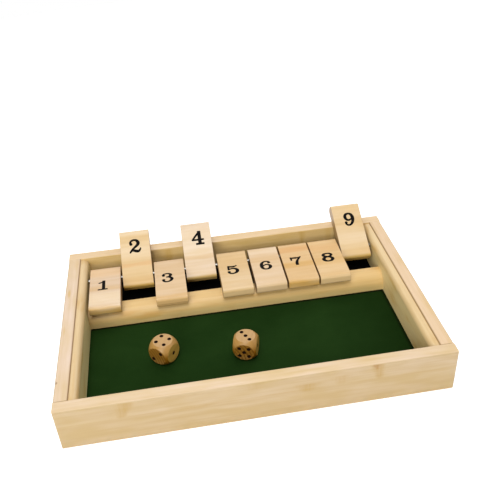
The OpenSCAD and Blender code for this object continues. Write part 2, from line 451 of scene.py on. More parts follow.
# The front ends, lifted by a painted light; the one that darkens downwards in painted shade; and the
# one whose glue line shows.
NOSE_LIGHT_TONE = stain(1.17, 1.17, 1.15)
SHADED_FOOT, FOOT_SHADE_TONE = 1, stain(0.72, 0.65, 0.40)
SPLIT_NOSE, SPLIT_TONE = 3, stain(0.55, 0.50, 0.42)
# Painted shade at the rod ends: golden on flaps that stand up, darker on ones that lie down, none on
# two.
STANDING_HEEL_SHADE = stain(0.88, 0.80, 0.42)
LYING_HEEL_SHADE = stain(0.50, 0.45, 0.36)
UNSHADED_HEELS = (1, 3)


def flap_bands(finish, colour, bands, reach):
    """Soft bands of other tones across a flap, each at its distance from the rod."""
    for at_mm, half_mm, tone, strength in bands:
        away = abs(reach - at_mm * MM)
        share = finish.spread(away, 0.4 * half_mm * MM, 1.3 * half_mm * MM, strength, 0.0, smooth=True)
        colour = finish.blend(colour, tone, share)
    return colour


def flap_nose(finish, colour, number, reach, height):
    """The front end of a flap, by the distance from the rod and the height on it: lifted by a painted
    light, on one flap darkened downwards by painted shade, on another crossed by its glue line.
    """
    nose = finish.spread(reach, (FLAP_REACH - 0.7) * MM, (FLAP_REACH - 0.1) * MM)
    # Painted light lifts the front end.
    colour = finish.tinted(colour, NOSE_LIGHT_TONE, nose)
    # Painted shade darkens this flap's front end towards its bottom.
    if number == SHADED_FOOT:
        foot = finish.spread(height, -1.0 * MM, 2.8 * MM, 1.0, 0.0, smooth=True)
        colour = finish.tinted(colour, FOOT_SHADE_TONE, foot * nose)
    if number == SPLIT_NOSE:
        colour = finish.tinted(colour, SPLIT_TONE, finish.line(height, -1.2 * MM, 0.5 * MM) * nose)
    return colour


def flap_wood(number):
    """Moulded strip wood with its grain along the rod, in the tone of one flap."""
    finish = Finish.of_material(f"flap_{number}_wood")
    x, y, z = finish.axes(finish.place)
    along, outward = flap_directions(number)
    from_rod_y, from_rod_z = y - ROD_Y * MM, z - ROD_Z * MM
    reach = from_rod_y * along.y + from_rod_z * along.z
    height = from_rod_y * outward.y + from_rod_z * outward.z
    own = (number * 0.131, number * 0.077, number * 0.053)
    cloud = finish.noise(grain_place(finish, "X", 7, 26, own), 2.0)
    band = finish.noise(grain_place(finish, "X", 3.0, 60, own), 2.0, 0.5)
    fibre = finish.noise(grain_place(finish, "X", 0.4, 22, own), 3.0, 0.6)

    base, bands = FLAP_WOODS[number]
    colour = flap_bands(finish, base, bands, reach + swing(cloud, 5.0 * MM))
    colour = finish.tinted(colour, FLAP_STAIN, finish.spread(cloud * 0.7 + band * 0.3, 0.35, 0.65))
    grain = 0.25 + swing(band, 1.1) + swing(fibre, 0.7)
    colour = finish.tinted(colour, FLAP_GRAIN, finish.spread(grain, 0.0, 1.0))
    # Painted shade at the rod end.
    if number not in UNSHADED_HEELS:
        heel_shade = STANDING_HEEL_SHADE if number in RAISED else LYING_HEEL_SHADE
        heel = finish.spread(reach, -10.2 * MM, -7.4 * MM, 1.0, 0.0, smooth=True)
        colour = finish.tinted(colour, heel_shade, heel)
    colour = flap_nose(finish, colour, number, reach, height)
    on_side = abs(x - flap_middle(number) * MM) > (FLAP_WIDTH / 2 - 0.15) * MM
    colour = finish.tinted(colour, FLAP_SIDE_TONE, on_side)
    relief = finish.bump(fibre * 0.6 + band * 0.4, 0.05, 0.5)
    return satin_wood(finish, colour, fibre, relief, FLAP_ROUGH)


DIE_PALE = paint(174, 136, 82)
DIE_SIDE = paint(168, 127, 67)
DIE_SHADED_LOW = paint(138, 93, 17)
DIE_CHEEK = paint(203, 166, 80)
DIE_END = paint(145, 103, 37)
DIE_RING = paint(112, 66, 14)
DIE_END_RINGS = stain(0.50, 0.40, 0.16)
DIE_ROUGH = (0.30, 0.42)
# The growth rings' middle lies outside a die, this far from its own, and one ring's width.
RING_MIDDLE_X, RING_MIDDLE_Z = -17.0, -9.0
RING_WIDTH = 2.3


def die_wood(name, die):
    """Turned hardwood, painted pale towards its top and golden lower down as painted top light and
    shade, with darker end grain.
    """
    finish = Finish.of_material(name)
    spot = finish.node("ShaderNodeMapping", {"vector_type": "TEXTURE"}, {
        "Vector": finish.place,
        "Location": (die["x"] * MM, die["y"] * MM, DIE_HEIGHT * MM),
        "Rotation": (math.radians(die["flip"]), 0.0, math.radians(die["yaw"])),
    })
    x, y, z = finish.axes(spot)
    if die["flip"]:
        z = z * -1.0
    flat = (DIE_SIZE / 2 - 0.06) * MM
    on_end, on_cheek, on_top = abs(y) > flat, abs(x) > flat, abs(z) > flat
    warp = finish.noise(spot * (180.0, 180.0, 60.0), 2.0) * (1.6 * MM)
    ring_radius = finish.length(finish.vector(x - RING_MIDDLE_X * MM, 0.0, z - RING_MIDDLE_Z * MM))
    turns = (ring_radius + warp) * (2 * math.pi / (RING_WIDTH * MM))
    ring = finish.node("ShaderNodeMath", {"operation": "SINE"}, {0: turns})
    ring = finish.spread(ring, -0.4, 1.0, smooth=True)
    fibre = finish.noise(spot * (2600.0, 160.0, 2600.0), 2.0)

    # Painted light: paler towards the top as the die rests, golden and darker lower down as painted
    # shade.
    lit_top = finish.spread(z + warp, 1.0 * MM, 6.0 * MM, smooth=True)
    colour = finish.blend(DIE_SHADED_LOW, DIE_SIDE, lit_top)
    colour = finish.blend(colour, DIE_PALE, on_top * lit_top)
    colour = finish.blend(colour, DIE_CHEEK, on_cheek * 0.8)
    low = finish.spread(z, -6.0 * MM, 0.0, 0.45, 0.0, smooth=True)
    colour = finish.blend(colour, finish.blend(DIE_END, DIE_PALE, low), on_end)
    end_rings = finish.spread(ring * (0.4 + fibre * 1.1), 0.1, 0.9, 0.0, 0.8)
    colour = finish.tinted(colour, DIE_END_RINGS, on_end * end_rings)
    faint_rings = (ring * 0.22 + swing(fibre, 0.35)) * (1.0 - lit_top * 0.6)
    colour = finish.blend(colour, DIE_RING, faint_rings)
    return satin_wood(finish, colour, fibre, finish.bump(fibre, 0.04, 0.4), DIE_ROUGH, gloss=0.45)


PLY_PALE = paint(222, 192, 148)
PLY_DEEP = paint(186, 146, 96)


def base_plywood(name):
    """Plain plywood panel, seen from below: rotary cut grain along the case."""
    finish = Finish.of_material(name)
    cloud = finish.noise(grain_place(finish, "X", 22, 160), 3.0, 0.55, 0.6)
    band = finish.noise(grain_place(finish, "X", 4.5, 120), 2.0, 0.55, 0.8)
    fibre = finish.noise(grain_place(finish, "X", 0.5, 24), 3.0, 0.6)
    depth = 0.4 + swing(cloud, 0.8) + swing(band, 0.9) + swing(fibre, 0.5)
    colour = finish.blend(PLY_PALE, PLY_DEEP, finish.spread(depth, 0.0, 1.0))
    rough = finish.spread(fibre, 0.2, 0.8, 0.58, 0.70)
    relief = finish.bump(fibre * 0.7 + band * 0.3, 0.08, 0.6)
    return finish.surface({"Base Color": colour, "Roughness": rough, "Normal": relief, "IOR": 1.45})


# ---------------------------------------------------------------- cloth, steel, ink
# Painted shade on the tray's cloth: darker towards the right rail, and darkest beside it and along the
# crossbar. Millimetres in from those two edges: where the darkening starts and is full.
CLOTH_RIGHT_SHADE = stain(0.58, 0.66, 0.50)
CLOTH_RIGHT_FADE = (50.0, 5.0)
RIGHT_RIM_SHADE = stain(0.72, 0.50, 0.35)
BACK_RIM_SHADE = stain(0.42, 0.16, 0.08)
CLOTH_RIM_FADE = (3.2, 1.0)


def cloth_rim_shade(finish, colour):
    """Paints shade on the tray's cloth towards its right edge and along the crossbar."""
    x, y, _ = finish.axes(finish.place)
    for across, edge_mm, fade, tone, smooth in (
        (x, SHEET_HALF_WIDTH, CLOTH_RIGHT_FADE, CLOTH_RIGHT_SHADE, False),
        (x, SHEET_HALF_WIDTH, CLOTH_RIM_FADE, RIGHT_RIM_SHADE, True),
        (y, BAIZE_BACK, CLOTH_RIM_FADE, BACK_RIM_SHADE, True),
    ):
        start, full = ((edge_mm - inset) * MM for inset in fade)
        colour = finish.tinted(colour, tone, finish.spread(across, start, full, smooth=smooth))
    return colour


def nap_cloth(name, dark, light, sheen, shaded_rims=False):
    """Short napped cloth: fine fibres, soft clouds where the nap has been brushed."""
    finish = Finish.of_material(name)
    brushed = finish.noise(finish.place * (28.0, 40.0, 40.0), 3.0, 0.55, 0.4)
    tuft = finish.noise(finish.place * (1900.0, 1900.0, 1900.0), 2.0, 0.6)
    weave = finish.node("ShaderNodeTexVoronoi", {"feature": "F1"}, {
        "Vector": finish.place, "Scale": 2300.0, "Randomness": 1.0,
    })
    depth = finish.spread(0.42 + swing(brushed, 1.1) + swing(tuft, 0.9), 0.0, 1.0)
    colour = finish.blend(dark, light, depth)
    if shaded_rims:
        # Painted shade along the cloth's rims.
        colour = cloth_rim_shade(finish, colour)
    rough = finish.spread(tuft, 0.2, 0.8, 0.86, 0.98)
    relief = finish.bump(tuft * 0.6 + weave * 0.4, 0.12, 0.7)
    return finish.surface({
        "Base Color": colour, "Roughness": rough, "Normal": relief, "IOR": 1.4,
        "Specular IOR Level": 0.06, "Sheen Weight": sheen, "Sheen Roughness": 0.5,
        "Sheen Tint": light,
    })


STEEL_BRIGHT = paint(150, 146, 138)
STEEL_DULL = paint(112, 108, 100)


def drawn_steel(name):
    """Bright drawn rod: fine marks along its length."""
    finish = Finish.of_material(name)
    mark = finish.noise(grain_place(finish, "X", 0.12, 14), 2.0)
    patch = finish.noise(finish.place * (90.0, 300.0, 300.0), 2.0)
    colour = finish.blend(STEEL_BRIGHT, STEEL_DULL, finish.spread(mark, 0.3, 0.8))
    rough = finish.spread(mark * 0.6 + patch * 0.4, 0.25, 0.75, 0.14, 0.30)
    return finish.surface({"Base Color": colour, "Roughness": rough, "Metallic": 1.0})


def thin_ink(name, full, worn):
    """Ink or paint laid thin on wood, thinner still where the wood's fibres stand up."""
    finish = Finish.of_material(name)
    fibre = finish.noise(grain_place(finish, "X", 0.35, 9), 3.0, 0.6)
    speck = finish.noise(finish.place * (2200.0, 2200.0, 2200.0), 2.0)
    thin = finish.spread(fibre * 0.6 + speck * 0.4, 0.52, 0.75, smooth=True)
    colour = finish.blend(full, worn, thin * 0.5)
    return finish.surface({
        "Base Color": colour, "Roughness": finish.spread(speck, 0.2, 0.8, 0.72, 0.86),
        "Normal": finish.bump(fibre, 0.02, 0.4), "IOR": 1.45, "Specular IOR Level": 0.08,
    })


# ---------------------------------------------------------------- pieces
def dress(node_name, material):
    """Gives a CAD node its finish."""
    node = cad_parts[node_name]
    node.data.materials.clear()
    node.data.materials.append(material)


def piece_from(name, shape, material):
    """A new piece from a filled bmesh."""
    mesh = bpy.data.meshes.new(name)
    shape.normal_update()
    shape.to_mesh(mesh)
    shape.free()
    mesh.materials.append(material)
    piece = bpy.data.objects.new(name, mesh)
    bpy.context.scene.collection.objects.link(piece)
    return piece


def sheet_wave(x, y):
    """How a laid cloth rises and falls, between -1 and 1, at a place in millimetres."""
    slow = math.sin(x * 0.071 + 1.3) * math.cos(y * 0.093 + 0.4)
    return slow * 0.6 + math.sin(x * 0.19 + y * 0.13) * 0.4


def cloth_sheet(name, front_y, back_y, top_z, step, ripple, material):
    """A laid sheet: closed, with a soft top that rises and falls a little and eased edges."""
    count_x = round(2 * SHEET_HALF_WIDTH / step)
    count_y = round((back_y - front_y) / step)
    xs = np.linspace(-SHEET_HALF_WIDTH, SHEET_HALF_WIDTH, count_x + 1)
    ys = np.linspace(front_y, back_y, count_y + 1)
    shape = bmesh.new()
    under, over = {}, {}
    for i, x in enumerate(xs):
        for j, y in enumerate(ys):
            under[i, j] = shape.verts.new((x * MM, y * MM, BASE_TOP * MM))
            to_edge = min(SHEET_HALF_WIDTH - abs(x), y - front_y, back_y - y)
            ease = 0.30 * (top_z - BASE_TOP) * math.exp(-to_edge / (0.35 * step))
            z = top_z - ease - ripple + ripple * sheet_wave(x, y)
            over[i, j] = shape.verts.new((x * MM, y * MM, z * MM))
    for i in range(count_x):
        for j in range(count_y):
            corners = ((i, j), (i + 1, j), (i + 1, j + 1), (i, j + 1))
            shape.faces.new([over[at] for at in corners])
            shape.faces.new([under[at] for at in reversed(corners)])
    rim = (
        [(i, 0) for i in range(count_x)]
        + [(count_x, j) for j in range(count_y)]
        + [(i, count_y) for i in range(count_x, 0, -1)]
        + [(0, j) for j in range(count_y, 0, -1)]
    )
    for here, there in zip(rim, rim[1:] + rim[:1]):
        shape.faces.new((under[here], under[there], over[there], over[here]))
    for face in shape.faces:
        face.smooth = abs(face.normal.z) > 0.5
    return piece_from(name, shape, material)


# ---------------------------------------------------------------- numbers
# Each figure's brush strokes, in millimetres about its middle: runs of (x, y, half width).
STROKES = {
    1: [
        [(1.1, 5.35, 0.35), (-0.15, 4.1, 0.4), (-1.4, 3.5, 0.4), (-2.75, 3.25, 0.4)],
    ],
    2: [
        [
            (-3.1, 1.7, 0.95), (-3.5, 2.9, 0.55), (-2.9, 4.2, 0.55), (-1.55, 4.95, 0.55),
            (-0.1, 5.1, 0.55), (1.45, 4.45, 0.8), (2.5, 2.6, 1.05), (2.0, 0.95, 0.9),
            (0.65, -0.4, 0.7), (-0.9, -1.65, 0.55), (-2.4, -3.1, 0.45), (-3.55, -4.55, 0.4),
            (-4.1, -5.55, 0.3),
        ],
        [
            (-3.75, -5.2, 0.25), (-2.75, -3.95, 0.5), (-1.35, -3.8, 0.75), (0.35, -4.45, 0.9),
            (2.0, -4.8, 0.8), (3.15, -4.1, 0.55), (3.85, -2.9, 0.35), (4.1, -2.3, 0.2),
        ],
    ],
    3: [
        [
            (-2.95, 3.0, 0.9), (-3.35, 4.0, 0.5), (-2.3, 5.0, 0.45), (-0.55, 5.4, 0.45),
            (1.2, 5.0, 0.6), (2.4, 3.6, 0.9), (1.95, 2.1, 0.75), (0.7, 1.1, 0.5),
            (-0.55, 0.85, 0.4),
        ],
        [
            (-0.55, 0.85, 0.4), (1.2, 0.6, 0.6), (2.6, -0.5, 0.85), (3.1, -2.0, 1.0),
            (2.3, -3.9, 0.75), (0.4, -5.1, 0.5), (-1.45, -5.15, 0.5), (-2.95, -4.1, 0.6),
            (-3.1, -2.6, 0.95),
        ],
    ],
    4: [
        [(1.5, 4.95, 0.4), (0.1, 3.25, 0.5), (-1.95, 0.85, 0.5), (-3.95, -1.6, 0.45)],
        [(-3.85, -1.75, 0.5), (0.1, -1.75, 0.5), (4.3, -1.75, 0.5)],
    ],
    5: [
        [(-3.1, 4.95, 0.55), (-3.15, 2.8, 0.5), (-3.3, 0.7, 0.4)],
        [
            (-3.1, 4.9, 0.5), (-1.55, 4.4, 0.65), (0.55, 4.15, 0.7), (2.2, 4.7, 0.45),
            (3.05, 5.3, 0.25),
        ],
        [
            (-3.3, 0.6, 0.4), (-1.95, 1.45, 0.45), (0.1, 1.85, 0.55), (2.2, 0.95, 0.8),
            (3.25, -1.25, 1.05), (2.4, -3.45, 0.85), (0.55, -4.7, 0.55), (-1.35, -4.8, 0.55),
            (-2.9, -3.8, 0.6), (-3.2, -2.35, 0.95),
        ],
    ],
    6: [
        [
            (2.7, 3.3, 0.9), (2.3, 4.6, 0.5), (0.75, 5.15, 0.45), (-1.1, 4.85, 0.6),
            (-2.7, 3.1, 0.85), (-3.3, 0.5, 1.05), (-3.15, -2.25, 0.95), (-2.1, -4.35, 0.65),
            (-0.1, -5.1, 0.5), (2.0, -4.4, 0.75), (3.2, -2.4, 1.05), (2.7, -0.25, 0.75),
            (0.95, 0.85, 0.45), (-0.9, 0.5, 0.4), (-2.2, -0.5, 0.4), (-3.0, -1.3, 0.4),
        ],
    ],
    7: [
        [(-3.65, 4.9, 0.4), (-3.6, 3.35, 0.4), (-3.6, 1.35, 0.35)],
        [
            (-3.55, 3.85, 0.5), (-2.1, 4.25, 0.7), (-0.4, 4.15, 0.8), (1.45, 4.0, 0.6),
            (3.1, 4.5, 0.4), (3.9, 5.0, 0.35),
        ],
        [
            (3.7, 4.85, 0.4), (2.5, 3.0, 0.45), (1.1, 0.9, 0.65), (0.3, -1.35, 0.85),
            (-0.05, -3.4, 0.9), (-0.05, -4.2, 0.88),
        ],
    ],
    8: [
        [
            (0.2, 5.1, 0.55), (-1.9, 4.6, 0.8), (-2.8, 3.0, 1.0), (-1.75, 1.4, 0.85),
            (0.35, 0.65, 0.75), (2.5, 1.5, 0.7), (3.4, 3.1, 0.85), (2.5, 4.6, 0.7),
            (0.2, 5.1, 0.55),
        ],
        [
            (0.2, 0.6, 0.75), (-2.3, -0.25, 0.85), (-3.45, -2.4, 1.1), (-2.3, -4.5, 0.85),
            (0.0, -5.25, 0.55), (2.3, -4.5, 0.85), (3.45, -2.4, 1.1), (2.3, -0.35, 0.85),
            (0.2, 0.6, 0.75),
        ],
    ],
    9: [
        [
            (2.7, 1.2, 0.4), (1.8, 0.35, 0.4), (-0.1, -0.6, 0.5), (-2.15, 0.1, 0.75),
            (-3.0, 2.4, 1.0), (-2.15, 4.45, 0.8), (-0.1, 5.2, 0.55), (2.0, 4.3, 0.85),
            (2.95, 1.9, 1.1), (2.8, -1.05, 0.95), (1.6, -3.55, 0.75), (-0.1, -4.9, 0.5),
            (-1.95, -4.9, 0.5), (-3.1, -3.8, 0.5), (-2.95, -2.7, 0.9),
        ],
    ],
}
# The straight bars that some figures also have: (x, y, half length, half height).
BARS = {
    1: [(0.55, 0.4, 0.9, 5.35), (-0.05, -5.2, 3.35, 0.45)],
    4: [(1.65, 0.35, 1.05, 5.25), (1.65, -5.35, 3.05, 0.55)],
    7: [(-0.05, -4.75, 0.86, 0.6)],
}
# Where each figure's middle lies: (sideways from the flap's middle, along it from the rod),
# on the face that shows when the flap lies flat, and on the face that shows when it is up.
FLAT_PLACES = {
    1: (-1.6, 11.9), 2: (-1.0, 13.6), 3: (-1.8, 12.95), 4: (-0.3, 13.6), 5: (-0.9, 13.95),
    6: (-0.45, 13.7), 7: (-0.85, 13.25), 8: (-0.4, 13.75), 9: (-0.3, 13.6),
}
RAISED_PLACES = {
    1: (0.2, 23.2), 2: (0.05, 23.3), 3: (0.2, 23.2), 4: (0.66, 23.5), 5: (0.2, 23.2),
    6: (0.2, 23.2), 7: (0.2, 23.2), 8: (0.2, 23.2), 9: (1.12, 22.9),
}
FLAT_FIGURE_HEIGHT = 0.925
# Half the patch that a figure is drawn on, and the grid's step, in millimetres.
FIGURE_REACH = (5.6, 6.9)
FIGURE_STEP = 0.13
FAR_OFF = 9.0
CURVE_STEPS = 12
# How far the ink runs past the brush, and how much it fills where two strokes meet.
INK_SPREAD = 0.30
CROTCH_FILL = 0.24
INK_PROUD = 0.04
INK_SUNK = 0.06


def smooth_run(points):
    """Points of a smooth curve through a stroke; a run that ends where it began is closed."""
    run = np.array(points, float)
    if len(run) > 3 and np.allclose(run[0], run[-1]):
        held = np.vstack([run[-2], run, run[1]])
    else:
        held = np.vstack([2 * run[0] - run[1], run, 2 * run[-1] - run[-2]])
    out = []
    for k in range(1, len(held) - 2):
        a, b, c, d = held[k - 1:k + 3]
        for t in np.arange(CURVE_STEPS) / CURVE_STEPS:
            bend = (2 * a - 5 * b + 4 * c - d) * t * t
            twist = (3 * b - a - 3 * c + d) * t ** 3
            out.append(0.5 * (2 * b + (c - a) * t + bend + twist))
    out.append(held[-2])
    return np.array(out)


def flow_together(a, b):
    """The nearer of two distances, with the crotch between them filled."""
    share = np.clip(0.5 + 0.5 * (b - a) / CROTCH_FILL, 0, 1)
    return b * (1 - share) + a * share - CROTCH_FILL * share * (1 - share)


def to_stroke(stroke, x, y):
    """Distance to a brush stroke whose half width changes along it."""
    run = smooth_run(stroke)
    nearest = np.full(x.shape, FAR_OFF)
    for (x0, y0, r0), (x1, y1, r1) in zip(run[:-1], run[1:]):
        dx, dy = x1 - x0, y1 - y0
        t = np.clip(((x - x0) * dx + (y - y0) * dy) / (dx * dx + dy * dy + 1e-12), 0, 1)
        away = np.hypot(x - x0 - t * dx, y - y0 - t * dy)
        nearest = np.minimum(nearest, away - (r0 + t * (r1 - r0)))
    return nearest


def to_bar(bar, x, y):
    """Distance to an upright or level bar."""
    middle_x, middle_y, half_long, half_high = bar
    over_x, over_y = abs(x - middle_x) - half_long, abs(y - middle_y) - half_high
    outside = np.hypot(np.maximum(over_x, 0), np.maximum(over_y, 0))
    return outside + np.minimum(np.maximum(over_x, over_y), 0)


def ink_field(number, x, y):
    """Distance to a figure's ink, below zero inside it."""
    ink = np.full(x.shape, FAR_OFF)
    for stroke in STROKES[number]:
        ink = flow_together(ink, to_stroke(stroke, x, y))
    for bar in BARS.get(number, ()):
        ink = flow_together(ink, to_bar(bar, x, y))
    return ink - INK_SPREAD


def figure_outlines(number):
    """Closed outlines of a figure, with the ink on their left."""
    xs, ys = (np.arange(-reach, reach, FIGURE_STEP) for reach in FIGURE_REACH)
    ink = ink_field(number, *np.meshgrid(xs, ys, indexing="ij"))
    inside = ink < 0
    filled = inside.astype(int)
    mixed = filled[:-1, :-1] + filled[1:, :-1] + filled[1:, 1:] + filled[:-1, 1:]
    follow, point = {}, {}
    for i, j in np.argwhere((mixed > 0) & (mixed < 4)):
        corners = [(i, j), (i + 1, j), (i + 1, j + 1), (i, j + 1)]
        sides = [(corners[k], corners[(k + 1) % 4]) for k in range(4)]
        for k, leave in enumerate(sides):
            if not inside[leave[0]] or inside[leave[1]]:
                continue
            enter = next(sides[(k + n) % 4] for n in (1, 2, 3) if inside[sides[(k + n) % 4][1]])
            for side in (leave, enter):
                (p, q), (r, s) = side
                share = ink[p, q] / (ink[p, q] - ink[r, s])
                place = (xs[p] + (xs[r] - xs[p]) * share, ys[q] + (ys[s] - ys[q]) * share)
                point[frozenset(side)] = place
            follow[frozenset(leave)] = frozenset(enter)
    outlines = []
    while follow:
        start, at = follow.popitem()
        loop = [point[start]]
        while at != start:
            loop.append(point[at])
            at = follow.pop(at)
        outlines.append(loop)
    return outlines


def add_figure(shape, number, to_face):
    """Adds one figure to a shape as a thin closed film of ink on the face that to_face gives."""
    film = bmesh.new()
    for loop in figure_outlines(number):
        verts = [film.verts.new((x * MM, y * MM, -INK_SUNK * MM)) for x, y in loop]
        for a, b in zip(verts, verts[1:] + verts[:1]):
            film.edges.new((a, b))
    bmesh.ops.triangle_fill(film, use_beauty=True, edges=film.edges[:], normal=(0, 0, 1))
    top = bmesh.ops.extrude_face_region(film, geom=film.faces[:], use_keep_orig=True)
    top = [v for v in top["geom"] if isinstance(v, bmesh.types.BMVert)]
    bmesh.ops.translate(film, vec=(0, 0, (INK_PROUD + INK_SUNK) * MM), verts=top)
    bmesh.ops.recalc_face_normals(film, faces=film.faces[:])
    film.transform(to_face)
    spare = bpy.data.meshes.new("film")
    film.to_mesh(spare)
    film.free()
    shape.from_mesh(spare)
    bpy.data.meshes.remove(spare)


def face_matrix(number, shown_when_up):
    """Where a figure's middle, right, up and outward directions lie on a flap at rest."""
    along, upper = flap_directions(number)
    figure_is_up = shown_when_up == (number in RAISED)
    sideways, distance = (RAISED_PLACES if shown_when_up else FLAT_PLACES)[number]
    outward = upper if figure_is_up else -upper
    glyph_up = along if shown_when_up else -along
    on_rod = Vector((flap_middle(number) + sideways, ROD_Y, ROD_Z))
    middle = (on_rod + along * distance + outward * FLAP_HALF_THICK) * MM
    turn = Matrix((glyph_up.cross(outward), glyph_up, outward)).transposed().to_4x4()
    height = 1.0 if shown_when_up else FLAT_FIGURE_HEIGHT
    return Matrix.Translation(middle) @ turn @ Matrix.Diagonal((1.0, height, 1.0, 1.0))


# ---------------------------------------------------------------- paint in the dice
PIP_RINGS = 7
PIP_TURNS = 28
# The paint's outside lies in the wood, its inside stands off it, and its rim is a hair
# above the face, all in millimetres.
PAINT_SUNK = 0.03
PAINT_PROUD = 0.035
RIM_PROUD = 0.012
# A number's spots are the rows that it has reached, in pip spacings.
PIP_ROWS = ((2, ((1, 1), (-1, -1))), (4, ((-1, 1), (1, -1))), (6, ((1, 0), (-1, 0))))


def pip_places(number):
    """Pip positions of a number on a face, in pip spacings."""
    places = [(0, 0)] if number % 2 else []
    for first, pair in PIP_ROWS:
        if number >= first:
            places += pair
    return places


def add_pip(shape, matrix):
    """Adds a thin bowl of paint in a drilled hollow of a die."""
    ball = (PIP_WIDTH ** 2 / 4 + PIP_DEPTH ** 2) / (2 * PIP_DEPTH)
    centre = ball - PIP_DEPTH

    def bowl(radius):
        """A tip and rings of corners on a ball, up to the level of the face."""
        limit = math.acos(centre / radius)
        circles = []
        for k in range(PIP_RINGS + 1):
            angle = limit * k / PIP_RINGS
            out, z = radius * math.sin(angle), centre - radius * math.cos(angle) + RIM_PROUD
            turns = np.arange(PIP_TURNS if k else 1) * (2 * math.pi / PIP_TURNS)
            circles.append([
                shape.verts.new(matrix @ (Vector((out * math.cos(a), out * math.sin(a), z)) * MM))
                for a in turns
            ])
        return circles

    under, over = bowl(ball + PAINT_SUNK), bowl(ball - PAINT_PROUD)
    for circles, flip in ((under, True), (over, False)):
        (tip,), *rings = circles
        for n in range(PIP_TURNS):
            m = (n + 1) % PIP_TURNS
            faces = [(tip, rings[0][n], rings[0][m])]
            faces += [(a[n], b[n], b[m], a[m]) for a, b in zip(rings, rings[1:])]
            for corners in faces:
                shape.faces.new(corners[::-1] if flip else corners).smooth = True
    outer, inner = under[-1], over[-1]
    for n in range(PIP_TURNS):
        m = (n + 1) % PIP_TURNS
        shape.faces.new((inner[n], outer[n], outer[m], inner[m]))


def die_pips(die):
    """All the paint in the hollows of one die."""
    shape = bmesh.new()
    stand = (
        Matrix.Translation(Vector((die["x"], die["y"], DIE_HEIGHT)) * MM)
        @ Matrix.Rotation(math.radians(die["yaw"]), 4, "Z")
        @ Matrix.Rotation(math.radians(die["flip"]), 4, "X")
    )
    for number, turn in FACE_TURNS.items():
        facing = Euler([math.radians(a) for a in turn], "XYZ").to_matrix().to_4x4()
        for x, y in pip_places(number):
            at = Vector((x * PIP_SPACING, y * PIP_SPACING, DIE_SIZE / 2)) * MM
            add_pip(shape, stand @ facing @ Matrix.Translation(at))
    return shape


# ---------------------------------------------------------------- dressing the game
# Knot marks on the boards: -1 for the front or left board and 1 for the other, place along
# the board, height where the mark is narrow, height where it is broad, half width, lean,
# tone and strength, in millimetres.
LONG_BOARD_MARKS = (
    (-1, -82.0, 19.6, 30.9, 7.5, 0.35, BAMBOO_GOLD, 0.68),
    (-1, 72.5, 20.0, 31.0, 6.5, -0.15, BAMBOO_GOLD, 0.66),
    (-1, 72.0, 28.0, 31.1, 3.8, 0.0, BAMBOO_ORANGE, 0.6),
    (-1, 28.0, 18.0, 24.0, 12.0, 0.0, BAMBOO_GOLD, 0.58),
    (-1, 49.5, 20.0, 26.5, 9.0, 0.0, BAMBOO_GOLD, 0.38),
    (-1, -40.0, 17.5, 20.5, 20.0, 0.0, BAMBOO_GOLD, 0.28),
    (-1, -5.0, 26.0, 31.0, 14.0, 0.0, BAMBOO_GOLD, 0.20),
    (1, -48.0, 12.0, 30.0, 5.0, 0.0, BAMBOO_GOLD, 0.45),
    (1, 60.0, 12.0, 31.0, 4.0, 0.0, BAMBOO_GOLD, 0.50),
    (1, 82.0, 14.0, 31.0, 5.0, 0.0, BAMBOO_GOLD, 0.40),
)
SHORT_BOARD_MARKS = (
    (-1, -20.0, 4.0, 17.0, 7.0, 0.0, BAMBOO_GOLD, 0.5),
    (1, 34.0, 22.0, 31.0, 7.0, 0.0, BAMBOO_GOLD, 0.45),
)
# Small knots on a top edge: place across, place along, half width across and along, tone
# and strength.
SHORT_BOARD_KNOTS = (
    (-123.9, -58.5, 1.0, 1.6, SEAM_BROWN, 0.75),
    (-122.0, 31.0, 1.5, 7.0, BAMBOO_GOLD, 0.6),
    (-122.6, -10.0, 1.2, 7.0, BAMBOO_GOLD, 0.35),
    (-118.5, 68.0, 3.0, 14.0, BAMBOO_GOLD, 0.35),
)
long_board = board_bamboo("bamboo_long_board", "X", LONG_BOARD_MARKS)
short_board = board_bamboo("bamboo_short_board", "Y", SHORT_BOARD_MARKS, SHORT_BOARD_KNOTS)
# The rails' inner walls are lifted and tinted green as painted bounce light, more on the left; the
# crossbar's lower wall is lifted and cooled as painted light.
side_moulding = moulding_wood(
    "side_moulding_wood", "Y", (paint(211, 186, 140), paint(191, 156, 101), paint(191, 149, 75)),
    golden=0.5, patch_mm=24, rough=(0.36, 0.46), wall_mm=(24.5, 29.0),
    wall_light_tones=(stain(1.34, 1.55, 1.49), stain(1.25, 1.35, 1.30)),
)
crossbar_moulding = moulding_wood(
    "crossbar_wood", "X", (paint(208, 175, 116), paint(190, 151, 86), paint(196, 150, 78)),
    golden=0.6, patch_mm=30, rough=(0.40, 0.50), wall_mm=(10.0, 13.5),
    wall_light_tones=(stain(1.06, 1.15, 1.24), stain(1.06, 1.15, 1.24)),
)
for node_name, wood in {
    "front_board": long_board, "back_board": long_board,
    "left_board": short_board, "right_board": short_board,
    "left_rail": side_moulding, "right_rail": side_moulding,
    "crossbar": crossbar_moulding, "base_panel": base_plywood("base_plywood"),
}.items():
    dress(node_name, wood)
dress("hinge_rod", drawn_steel("drawn_steel"))
for number in FLAPS:
    dress(f"tile_{number}", flap_wood(number))
for side, die in DICE.items():
    dress(die["node"], die_wood(f"{side}_die_wood", die))

green_baize = nap_cloth("green_baize", paint(17, 40, 8), paint(30, 54, 18), 0.02, shaded_rims=True)
baize = cloth_sheet(
    "baize_sheet", -BOARD_INNER_Y + SHEET_GAP, BAIZE_BACK, BAIZE_TOP,
    step=2.0, ripple=0.05, material=green_baize,
)
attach(baize, "case")
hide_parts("baize")

